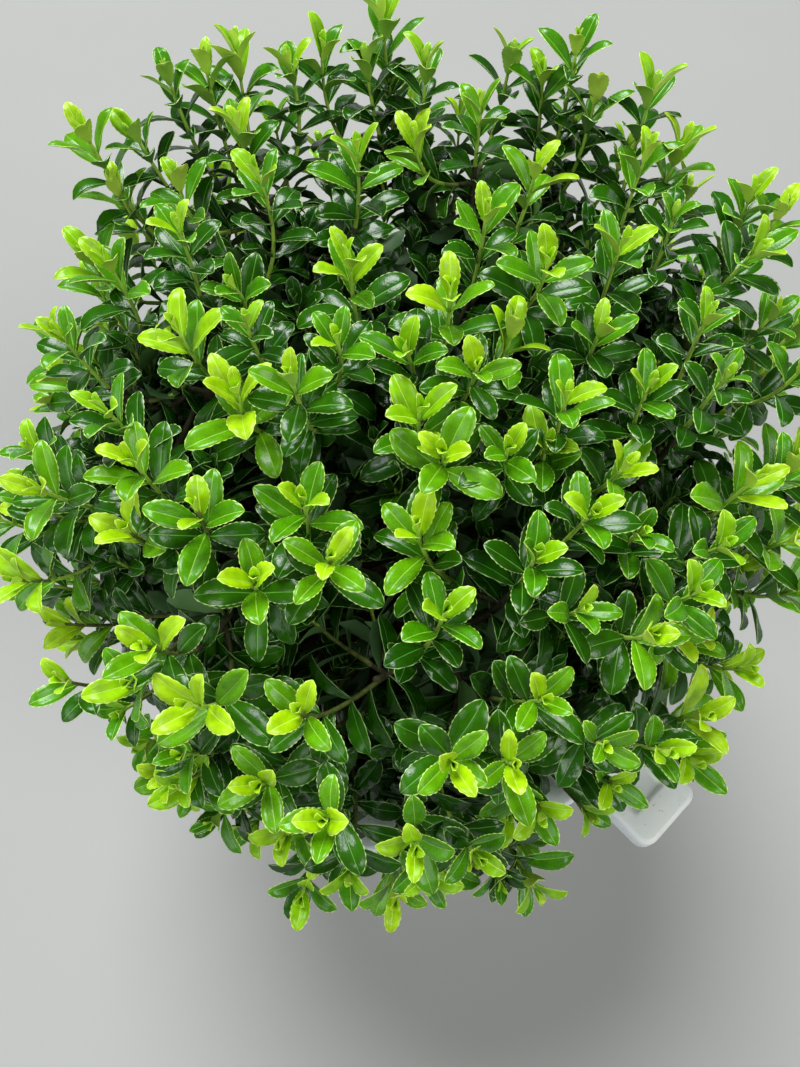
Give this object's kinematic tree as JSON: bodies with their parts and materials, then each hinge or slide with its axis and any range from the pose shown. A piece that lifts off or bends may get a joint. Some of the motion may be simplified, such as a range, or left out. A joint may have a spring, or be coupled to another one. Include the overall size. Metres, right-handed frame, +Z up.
{
  "type": "potted spindle shrub",
  "caption": "Small-leaved evergreen spindle shrub with a dense rounded crown, growing in a round pale plastic tub with flat grip lugs.",
  "frame": {"origin": "middle of the tub's flat underside", "axes": "+Z up along the trunk; +Y away from the picture's camera, +X to the picture's right; the tub's grip lugs point between +X and -Y and the opposite way"},
  "size_m": [0.5269, 0.5231, 0.5412],
  "materials": {
    "tub_plastic": "satin pale grey-white moulded plastic",
    "potting_soil": "dark moist crumbly potting soil",
    "bark": "green-brown bark with fine ridges",
    "foliage": "glossy evergreen leaves, lime at the shoot tips"
  },
  "bodies": {
    "root": {"planter": "tub_plastic", "potting_soil": "potting_soil", "trunk": "bark", "bough_leader": "bark", "bough_1": "bark", "bough_2": "bark", "bough_3": "bark", "bough_4": "bark", "bough_5": "bark", "bough_6": "bark", "bough_7": "bark", "foliage_top": "foliage", "foliage_upper_1": "foliage", "foliage_upper_2": "foliage", "foliage_upper_3": "foliage", "foliage_upper_4": "foliage", "foliage_upper_5": "foliage", "foliage_upper_6": "foliage", "foliage_upper_7": "foliage", "foliage_lower_1": "foliage", "foliage_lower_2": "foliage", "foliage_lower_3": "foliage", "foliage_lower_4": "foliage", "foliage_lower_5": "foliage", "foliage_lower_6": "foliage", "foliage_lower_7": "foliage"}
  },
  "joints": []
}
